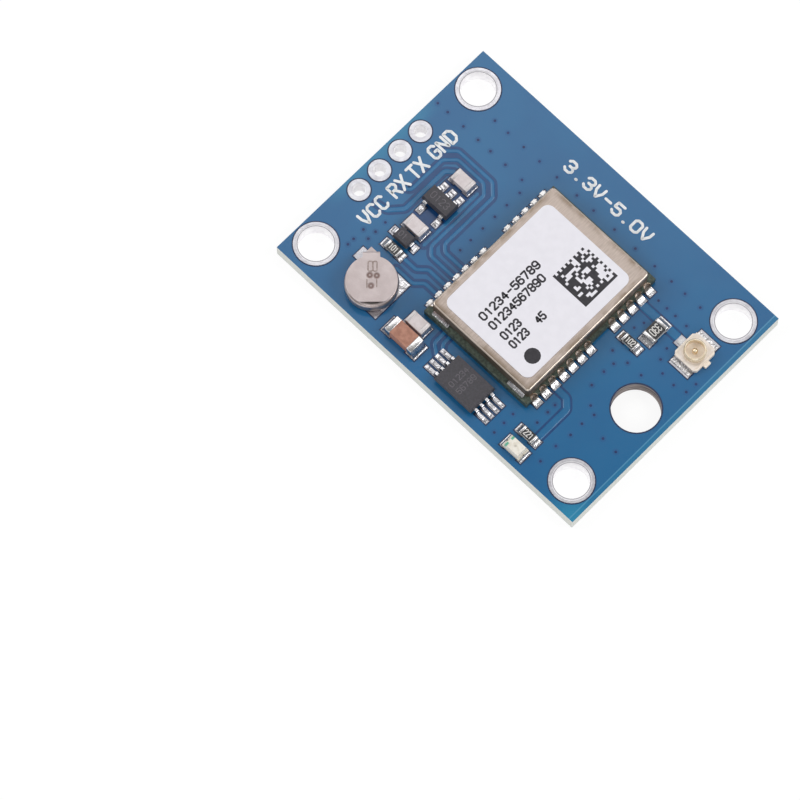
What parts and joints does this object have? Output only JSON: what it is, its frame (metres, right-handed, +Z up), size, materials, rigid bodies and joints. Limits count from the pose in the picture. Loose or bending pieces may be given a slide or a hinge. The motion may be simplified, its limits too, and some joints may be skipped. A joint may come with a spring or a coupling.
{
  "type": "gps module",
  "caption": "Rectangular satellite-positioning circuit board with a shielded receiver, backup cell, status light, header holes and a coaxial antenna socket.",
  "frame": {"origin": "middle of the underside, at the level of the underside pads", "axes": "+X from the header holes to the antenna socket, +Y across the board, +Z up on the component side"},
  "size_m": [0.0354, 0.0256, 0.0042],
  "materials": {
    "solder_mask": "blue solder mask over glass-epoxy laminate",
    "tin_plating": "tinned copper",
    "solder": "bright reflowed solder",
    "receiver_laminate": "green solder mask",
    "edge_contact": "gold flash over nickel",
    "shield_metal": "warm grey nickel silver, satin",
    "label_paper": "matte white",
    "black_moulding": "charcoal moulding compound",
    "inner_metal": "satin metal lid",
    "lead_metal": "matte tin",
    "cell_steel": "nickel-plated steel, faintly stained",
    "cell_seal": "dark gasket",
    "brown_ceramic": "brown capacitor ceramic",
    "pale_ceramic": "pale pinkish capacitor ceramic",
    "end_metal": "tinned end",
    "alumina": "white alumina",
    "resistor_glaze": "black glaze",
    "light_substrate": "cream laminate",
    "light_resin": "milky resin",
    "light_metal": "pale gold flash",
    "socket_insulator": "cream moulding",
    "socket_metal": "pale gold flash",
    "gold": "gold plating"
  },
  "bodies": {
    "root": {"board": "solder_mask", "mounting_hole_plating": "tin_plating", "header_hole_plating": "tin_plating", "back_pads": "tin_plating", "receiver_pads": "tin_plating", "component_pads": "tin_plating", "component_solder": "solder", "lead_solder": "solder", "receiver_solder": "solder", "shield_solder": "solder", "receiver_board": "receiver_laminate", "receiver_contacts": "edge_contact", "shield_can": "shield_metal", "receiver_label": "label_paper", "receiver_chip": "black_moulding", "regulator_body": "black_moulding", "diode_body": "black_moulding", "memory_body": "black_moulding", "oscillator": "inner_metal", "antenna_filter": "inner_metal", "regulator_leads": "lead_metal", "diode_leads": "lead_metal", "memory_leads": "lead_metal", "cell_can": "cell_steel", "cell_cap": "cell_steel", "cell_top_tab": "cell_steel", "cell_bottom_tab": "cell_steel", "cell_gasket": "cell_seal", "bulk_capacitor_body": "brown_ceramic", "input_capacitor_body": "pale_ceramic", "output_capacitor_body": "pale_ceramic", "memory_capacitor_body": "pale_ceramic", "bulk_capacitor_ends": "end_metal", "input_capacitor_ends": "end_metal", "output_capacitor_ends": "end_metal", "memory_capacitor_ends": "end_metal", "charge_resistor_ends": "end_metal", "light_resistor_ends": "end_metal", "filter_resistor_ends": "end_metal", "bias_resistor_ends": "end_metal", "charge_resistor_body": "alumina", "light_resistor_body": "alumina", "filter_resistor_body": "alumina", "bias_resistor_body": "alumina", "charge_resistor_coat": "resistor_glaze", "light_resistor_coat": "resistor_glaze", "filter_resistor_coat": "resistor_glaze", "bias_resistor_coat": "resistor_glaze", "light_base": "light_substrate", "light_lens": "light_resin", "light_terminals": "light_metal", "socket_base": "socket_insulator", "socket_plate": "socket_metal", "socket_barrel": "socket_metal", "socket_pin": "gold"}
  },
  "joints": []
}
